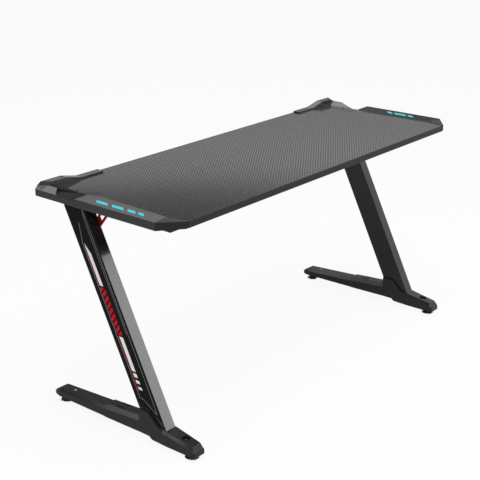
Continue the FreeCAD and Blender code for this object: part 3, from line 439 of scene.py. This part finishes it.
def diode_strip():
    """White strip, with yellow phosphor on the diodes that stand on it."""
    diode_height = 1.2 * MM
    dull_white = grey(0.72)
    clear_white = grey(0.82)
    phosphor = (0.80, 0.62, 0.10, 1.0)
    cloud_scale = 400.0
    finish = material("diode_strip")
    point = finish.point()
    _, _, z = finish.axes(point)
    strip_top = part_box("left_light_strip")[1].z - diode_height
    cloud = finish.noise(point, cloud_scale)
    white = finish.mix(cloud, dull_white, clear_white)
    diode = z.step(strip_top, 0.2 * MM)
    return finish.shade(base_color=finish.mix(diode, white, phosphor), roughness=0.4 + 0.1 * cloud)


CARBON = carbon_laminate()
# The light bar's nose facets are rougher and painted darker as shade
TRIM = moulded("trim_plastic", tone=0.030, gloss=0.08, grain=1500.0, depth=0.002 * MM, coarse_and_shaded=bar_nose)
EDGE = moulded("edge_plastic", tone=0.018, gloss=0.30, grain=1100.0, depth=0.006 * MM, level=0.14)
FOOT = moulded("foot_plastic", tone=0.020, gloss=0.22, grain=1300.0, depth=0.005 * MM, level=0.15)
RUBBER = moulded("leveller_rubber", tone=0.018, gloss=0.62, grain=900.0, depth=0.03 * MM)
SHEATH = moulded("lead_sheath", tone=0.016, gloss=0.48, grain=700.0, depth=0.015 * MM)
CASE = moulded("controller_plastic", tone=0.022, gloss=0.42, grain=1200.0, depth=0.02 * MM)
BLACK_STEEL = powder_coat("black_steel", colour=(0.010, 0.010, 0.0105), gloss=0.10)
RED_STEEL = powder_coat("red_steel", colour=(0.30, 0.008, 0.007), gloss=0.36)
PANEL = panel_print()
LENS = light_lens()
ZINC = plated("zinc_plate", tone=0.58, gloss=0.30)
BLACK_ZINC = plated("black_zinc", tone=0.05, gloss=0.45)
FOOT_ZINC = plated("foot_screw_plate", tone=0.58, gloss=0.30, front_tone=0.05)
RIM = plated("rim_plate", tone=0.90, gloss=0.24)
BOARD = particle_board()
CIRCUIT = circuit_board()
STRIP = diode_strip()


def piece(name, mesh, finish, body):
    """A mesh in the desk's own frame, carried by one of its bodies. A grown mesh already has its finish."""
    made = bpy.data.objects.new(name, mesh)
    bpy.context.scene.collection.objects.link(made)
    if finish:
        mesh.materials.clear()
        mesh.materials.append(finish.owner)
    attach(made, body)
    return made


def meshed(name, shape):
    mesh = bpy.data.meshes.new(name)
    shape.to_mesh(mesh)
    shape.free()
    return mesh


def merged(node):
    """Copy of a CAD node's triangles with its seams closed and its flat faces made whole."""
    seam = 0.004 * MM
    flat = math.radians(0.6)
    shape = bmesh.new()
    shape.from_mesh(nodes[node].data)
    bmesh.ops.remove_doubles(shape, verts=shape.verts, dist=seam)
    bmesh.ops.dissolve_limit(shape, angle_limit=flat, verts=shape.verts, edges=shape.edges)
    return shape


def softened(node, radius, finish):
    """Stands for a CAD node, with its long hard edges rounded off."""
    shortest = 5.0 * radius
    sharp = math.radians(12)
    shape = merged(node)
    hard = [
        edge for edge in shape.edges
        if len(edge.link_faces) == 2
        and edge.calc_face_angle(0) > sharp
        and edge.calc_length() > shortest
    ]
    rounded = bmesh.ops.bevel(
        shape, geom=hard, offset=radius, segments=3, profile=0.5, affect="EDGES", clamp_overlap=True,
    )
    strips = set(rounded["faces"])
    for face in shape.faces:
        face.smooth = face in strips
    name = f"{node}_rounded"
    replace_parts(piece(name, meshed(name, shape), finish, "desk"), node)


def solids(node):
    """Lowest and highest corner of each separate solid of a CAD node."""
    shape = merged(node)
    left = set(shape.verts)
    found = []
    while left:
        island = []
        front = [left.pop()]
        while front:
            vertex = front.pop()
            island.append(vertex.co.copy())
            for edge in vertex.link_edges:
                beside = edge.other_vert(vertex)
                if beside in left:
                    left.remove(beside)
                    front.append(beside)
        low = Vector([min(point[axis] for point in island) for axis in range(3)])
        high = Vector([max(point[axis] for point in island) for axis in range(3)])
        found.append((low, high))
    shape.free()
    return sorted(found, key=lambda box: tuple(box[0]))


def turned(name, rings, steps):
    """Turned mesh: each ring is a height and a radius, or a radius that varies with the angle."""
    shape = bmesh.new()
    rows = []
    for height, radius in rings:
        row = []
        for index in range(steps):
            angle = 2 * math.pi * index / steps
            reach = radius(angle) if callable(radius) else radius
            row.append(shape.verts.new((reach * math.cos(angle), reach * math.sin(angle), height)))
        rows.append(row)
    for lower, upper in zip(rows, rows[1:]):
        for index in range(steps):
            after = (index + 1) % steps
            side_face = shape.faces.new((lower[index], lower[after], upper[after], upper[index]))
            side_face.smooth = True
    shape.faces.new(rows[-1])
    shape.faces.new(rows[0][::-1])
    return meshed(name, shape)


def hexagon(across_flats):
    """Radius of a hexagonal outline at an angle."""
    sixth = math.pi / 3
    return lambda angle: across_flats / 2 / math.cos(angle % sixth - sixth / 2)


def screw_head(radius, height, socket):
    """Domed head with a hexagonal socket, whose floor is the last ring."""
    opening = hexagon(socket)
    return turned("screw_head", [
        (0, radius * 0.97), (height * 0.12, radius), (height * 0.55, radius), (height * 0.82, radius * 0.93),
        (height * 0.97, radius * 0.78), (height, radius * 0.66), (height, opening), (height * 0.35, opening),
    ], steps=24)


def tree_with(name, sizes):
    """Geometry tree with a geometry input, named sizes and a finish, and its input and output nodes."""
    tree = bpy.data.node_groups.new(name, "GeometryNodeTree")
    tree.interface.new_socket("Geometry", in_out="INPUT", socket_type="NodeSocketGeometry")
    for label, kind in sizes:
        tree.interface.new_socket(label, in_out="INPUT", socket_type=kind)
    tree.interface.new_socket("Finish", in_out="INPUT", socket_type="NodeSocketMaterial")
    tree.interface.new_socket("Geometry", in_out="OUTPUT", socket_type="NodeSocketGeometry")
    return tree, tree.nodes.new("NodeGroupInput"), tree.nodes.new("NodeGroupOutput")


def finish_tree(tree, given, result, instances):
    """Makes the instances real and gives them their finish."""
    real = tree.nodes.new("GeometryNodeRealizeInstances")
    coat = tree.nodes.new("GeometryNodeSetMaterial")
    tree.links.new(instances, real.inputs["Geometry"])
    tree.links.new(real.outputs["Geometry"], coat.inputs["Geometry"])
    tree.links.new(given.outputs["Finish"], coat.inputs["Material"])
    tree.links.new(coat.outputs["Geometry"], result.inputs["Geometry"])
    return tree


def screw_tree():
    """One screw on every point."""
    tree, given, result = tree_with("screws_on_points", [("Screw", "NodeSocketObject")])
    info = tree.nodes.new("GeometryNodeObjectInfo")
    spread = tree.nodes.new("GeometryNodeInstanceOnPoints")
    tree.links.new(given.outputs["Screw"], info.inputs["Object"])
    tree.links.new(given.outputs["Geometry"], spread.inputs["Points"])
    tree.links.new(info.outputs["Geometry"], spread.inputs["Instance"])
    return finish_tree(tree, given, result, spread.outputs["Instances"])


def thread_tree():
    """A thread that winds up from every point."""
    sizes = ("Radius", "Pitch", "Length", "Depth")
    tree, given, result = tree_with("thread_on_points", [(label, "NodeSocketFloat") for label in sizes])
    turns = tree.nodes.new("ShaderNodeMath")
    turns.operation = "DIVIDE"
    spiral = tree.nodes.new("GeometryNodeCurveSpiral")
    spiral.inputs["Resolution"].default_value = 20
    ridge = tree.nodes.new("GeometryNodeCurvePrimitiveCircle")
    ridge.inputs["Resolution"].default_value = 4
    tube = tree.nodes.new("GeometryNodeCurveToMesh")
    tube.inputs["Fill Caps"].default_value = True
    spread = tree.nodes.new("GeometryNodeInstanceOnPoints")
    for source, target in (
        (given.outputs["Length"], turns.inputs[0]),
        (given.outputs["Pitch"], turns.inputs[1]),
        (turns.outputs[0], spiral.inputs["Rotations"]),
        (given.outputs["Radius"], spiral.inputs["Start Radius"]),
        (given.outputs["Radius"], spiral.inputs["End Radius"]),
        (given.outputs["Length"], spiral.inputs["Height"]),
        (given.outputs["Depth"], ridge.inputs["Radius"]),
        (spiral.outputs["Curve"], tube.inputs["Curve"]),
        (ridge.outputs["Curve"], tube.inputs["Profile Curve"]),
        (given.outputs["Geometry"], spread.inputs["Points"]),
        (tube.outputs["Mesh"], spread.inputs["Instance"]),
    ):
        tree.links.new(source, target)
    return finish_tree(tree, given, result, spread.outputs["Instances"])


def grown(name, tree, points, finish, **inputs):
    """Plain mesh of what a tree makes on some points."""
    seeds = bpy.data.meshes.new(f"{name}_points")
    seeds.from_pydata([tuple(point) for point in points], [], [])
    holder = bpy.data.objects.new(f"{name}_holder", seeds)
    bpy.context.scene.collection.objects.link(holder)
    modifier = holder.modifiers.new("tree", "NODES")
    modifier.node_group = tree
    inputs["Finish"] = finish.owner
    for item in tree.interface.items_tree:
        if item.in_out == "INPUT" and item.name in inputs:
            modifier[item.identifier] = inputs[item.name]
    depsgraph = bpy.context.evaluated_depsgraph_get()
    mesh = bpy.data.meshes.new_from_object(holder.evaluated_get(depsgraph), depsgraph=depsgraph)
    mesh.name = name
    bpy.data.objects.remove(holder)
    return mesh


SCREWS = screw_tree()
THREADS = thread_tree()


def screw_set(node, finish, underside=False):
    """Domed heads with sockets for all the screws of a CAD node, which keeps its shanks."""
    head_height = 1.3 * MM
    socket_share = 1.05
    boxes = solids(node)
    low, high = boxes[0]
    radius = (high.x - low.x) / 2
    sample = bpy.data.objects.new(f"{node}_sample", screw_head(radius, head_height, radius * socket_share))
    bpy.context.scene.collection.objects.link(sample)
    if underside:
        sample.data.transform(Matrix.Rotation(math.pi, 4, "X"))
    points = []
    for low, high in boxes:
        middle = (low + high) / 2
        points.append((middle.x, middle.y, low.z if underside else high.z))
    mesh = grown(f"{node}_heads", SCREWS, points, finish, Screw=sample)
    bpy.data.objects.remove(sample)
    piece(f"{node}_heads", mesh, None, "desk")


# Pieces with rounded edges
softened("desktop_surface", 0.25 * MM, CARBON)
for end in ENDS:
    softened(f"{end}_edge_strip", 0.9 * MM, EDGE)
for side in SIDES:
    softened(f"{side}_light_bar", 0.9 * MM, TRIM)
    softened(f"{side}_rear_corner", 0.5 * MM, TRIM)
    softened(f"{side}_light_lenses", 0.35 * MM, LENS)
    softened(f"{side}_leg_column", 2.5 * MM, BLACK_STEEL)
    softened(f"{side}_leg_panel", 0.2 * MM, PANEL)
    softened(f"{side}_top_beam", 1.6 * MM, BLACK_STEEL)
    softened(f"{side}_beam_end_caps", 0.8 * MM, FOOT)
    softened(f"{side}_brace", 1.0 * MM, RED_STEEL)
    softened(f"{side}_foot_bar", 1.0 * MM, BLACK_STEEL)
    softened(f"{side}_foot_cover", 1.6 * MM, FOOT)
for end in ENDS:
    softened(f"{end}_crossbar", 1.8 * MM, BLACK_STEEL)
for part in ("case", "lid"):
    softened(f"controller_{part}", 0.8 * MM, CASE)
softened("lead_clips", 0.4 * MM, SHEATH)

# Pieces that keep their CAD shape
KEPT = {
    "desktop_board": BOARD,
    "controller_circuit": CIRCUIT,
    "controller_button": CASE,
    "power_inlet": CASE,
    "trim_screws": BLACK_ZINC,
}
for side in SIDES:
    KEPT[f"{side}_light_strip"] = STRIP
    KEPT[f"{side}_light_lead"] = SHEATH
    KEPT[f"{side}_foot_screws"] = FOOT_ZINC
    for part in ("board_screws", "crossbar_bolts"):
        KEPT[f"{side}_{part}"] = ZINC
    for end in ENDS:
        KEPT[f"{side}_{end}_leveller_nut"] = ZINC
        KEPT[f"{side}_{end}_leveller_stud"] = ZINC
for node, finish in KEPT.items():
    nodes[node].data.materials.clear()
    nodes[node].data.materials.append(finish.owner)

# Screw heads
screw_set("trim_screws", BLACK_ZINC)
for side in SIDES:
    screw_set(f"{side}_foot_screws", FOOT_ZINC)
    screw_set(f"{side}_board_screws", ZINC, underside=True)


def turned_piece(name, rings, place, finish, body):
    mesh = turned(name, rings, steps=64)
    mesh.transform(Matrix.Translation(place))
    return piece(name, mesh, finish, body)


def leveller_pad(side, end):
    """Black cone on a bright pressed rim."""
    rim_share = 0.36
    body = f"{side}_{end}_leveller"
    low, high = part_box(f"{body}_pad")
    middle = (low + high) / 2
    place = (middle.x, middle.y, low.z)
    reach = (high.x - low.x) / 2
    height = high.z - low.z
    rim = rim_share * height
    cone = turned_piece(f"{body}_turned_cone", [
        (rim, reach * 0.80), (rim * 1.35, reach * 0.77), (height * 0.80, reach * 0.46),
        (height * 0.88, reach * 0.38), (height, reach * 0.355),
    ], place, RUBBER, body)
    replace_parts(cone, f"{body}_pad")
    turned_piece(f"{body}_turned_rim", [
        (0, reach * 0.90), (rim * 0.15, reach * 0.97), (rim * 0.45, reach), (rim * 0.85, reach),
        (rim, reach * 0.975),
    ], place, RIM, body)


def leveller_thread(side, end):
    """Thread wound on a leveller's stud, mostly sunk in it and clear of its ends."""
    bare_end = 1.5 * MM
    sunk = 0.30 * MM
    body = f"{side}_{end}_leveller"
    low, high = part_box(f"{body}_stud")
    middle = (low + high) / 2
    mesh = grown(
        f"{body}_thread", THREADS, [(middle.x, middle.y, low.z + bare_end)], ZINC,
        Radius=(high.x - low.x) / 2 - sunk, Pitch=1.25 * MM,
        Length=high.z - low.z - 2 * bare_end, Depth=0.42 * MM,
    )
    piece(f"{body}_thread", mesh, None, body)


for side in SIDES:
    for end in ENDS:
        leveller_pad(side, end)
        leveller_thread(side, end)


# Stage, light and camera
def plain_floor():
    """Pale floor: near white to the camera, half white in reflections, and with the desk's soft shadow."""
    reach = 60.0
    floor_tone = grey(0.80)
    camera_white = 0.92
    mirror_white = 0.5
    mesh = bpy.data.meshes.new("floor")
    corners = [(-reach, -reach, 0), (reach, -reach, 0), (reach, reach, 0), (-reach, reach, 0)]
    mesh.from_pydata(corners, [], [(0, 1, 2, 3)])
    made = bpy.data.objects.new("floor", mesh)
    bpy.context.scene.collection.objects.link(made)
    finish = material("pale_floor")
    camera, mirrored = finish.background_rays()
    white = camera * camera_white | mirrored * mirror_white
    lit = finish.node("ShaderNodeBsdfDiffuse", None, {"Color": floor_tone})
    glow = finish.node("ShaderNodeEmission", None, {"Color": grey(1.0), "Strength": 1.0})
    blend = finish.node("ShaderNodeMixShader", None, {0: white, 1: lit, 2: glow})
    finish.tree.links.new(blend.socket, finish.tree.nodes["Material Output"].inputs["Surface"])
    mesh.materials.append(finish.owner)


def studio_world():
    """White to the camera, a sky of bands and panels in reflections, and even light on all else."""
    # Heights are sines of the angle above the horizon
    even_light = 0.55
    dark_sky = 0.05
    left_strength = 4.5
    right_strength = 0.7
    world = bpy.data.worlds.new("studio")
    bpy.context.scene.world = world
    world.use_nodes = True
    finish = Finish(world, "Background")
    camera, mirrored = finish.background_rays()
    direction = finish.node("ShaderNodeTexCoord", output="Generated")
    rightward, _, height = finish.axes(direction)
    low_sky = (0.43 + 0.45 * height.step(0.255, 0.06)) * (1 - height.step(0.297, 0.014))
    middle_sky = 0.55 * height.step(0.44, 0.05) + 2.0 * height.band(0.53, 0.90, 0.05)
    left_panel = height.band(0.40, 0.58, 0.05) * (1 - rightward.step(-0.35, 0.2))
    right_panel = height.band(0.34, 0.47, 0.04) * rightward.step(0.72, 0.06)
    sky = dark_sky + low_sky + middle_sky + left_strength * left_panel + right_strength * right_panel
    level = camera + (1 - camera) * (mirrored * sky + (1 - mirrored) * even_light)
    finish.shade(color=grey(1.0), strength=level)
    world.cycles.sampling_method = "NONE"


def soft_box(name, place, target, width, height, power, lean=0.0):
    """Area lamp that faces a target, with its top leaning to its own right by some degrees."""
    lamp = bpy.data.lights.new(name, "AREA")
    lamp.shape = "RECTANGLE"
    lamp.size = width
    lamp.size_y = height
    lamp.energy = power
    made = bpy.data.objects.new(name, lamp)
    made.location = place
    facing = (Vector(target) - Vector(place)).to_track_quat("-Z", "Y").to_matrix()
    made.rotation_euler = (facing @ Matrix.Rotation(math.radians(-lean), 3, "Z")).to_euler()
    bpy.context.scene.collection.objects.link(made)


def photo_camera():
    """Camera at the photograph's place, turned from the desk's depth and tilted down by some degrees."""
    image_width = 480
    focal_pixels = 1061.6
    place = (-2.6992, -2.1348, 1.6964)
    turn = 50.30
    tilt = 20.23
    lens = bpy.data.cameras.new("camera")
    lens.sensor_width = 36.0
    lens.lens = lens.sensor_width * focal_pixels / image_width
    lens.clip_end = 200.0
    made = bpy.data.objects.new("camera", lens)
    made.location = place
    made.rotation_euler = (math.radians(90 - tilt), 0.0, math.radians(-turn))
    bpy.context.scene.collection.objects.link(made)
    bpy.context.scene.camera = made


plain_floor()
studio_world()
soft_box(
    "left_leg_light", place=(1.632, -2.792, 1.20), target=(-0.608, 0.008, 0.35),
    width=0.34, height=1.36, power=15.8, lean=16.6,
)
soft_box(
    "right_leg_light", place=(3.077, -1.635, 1.08), target=(0.657, -0.035, 0.4),
    width=0.40, height=1.72, power=3.2, lean=21.9,
)
soft_box(
    "overhead_light", place=(-0.6, -1.2, 4.2), target=(0.0, 0.0, 0.7),
    width=3.0, height=3.0, power=110.0,
)
photo_camera()
bpy.context.scene.view_settings.view_transform = "Standard"
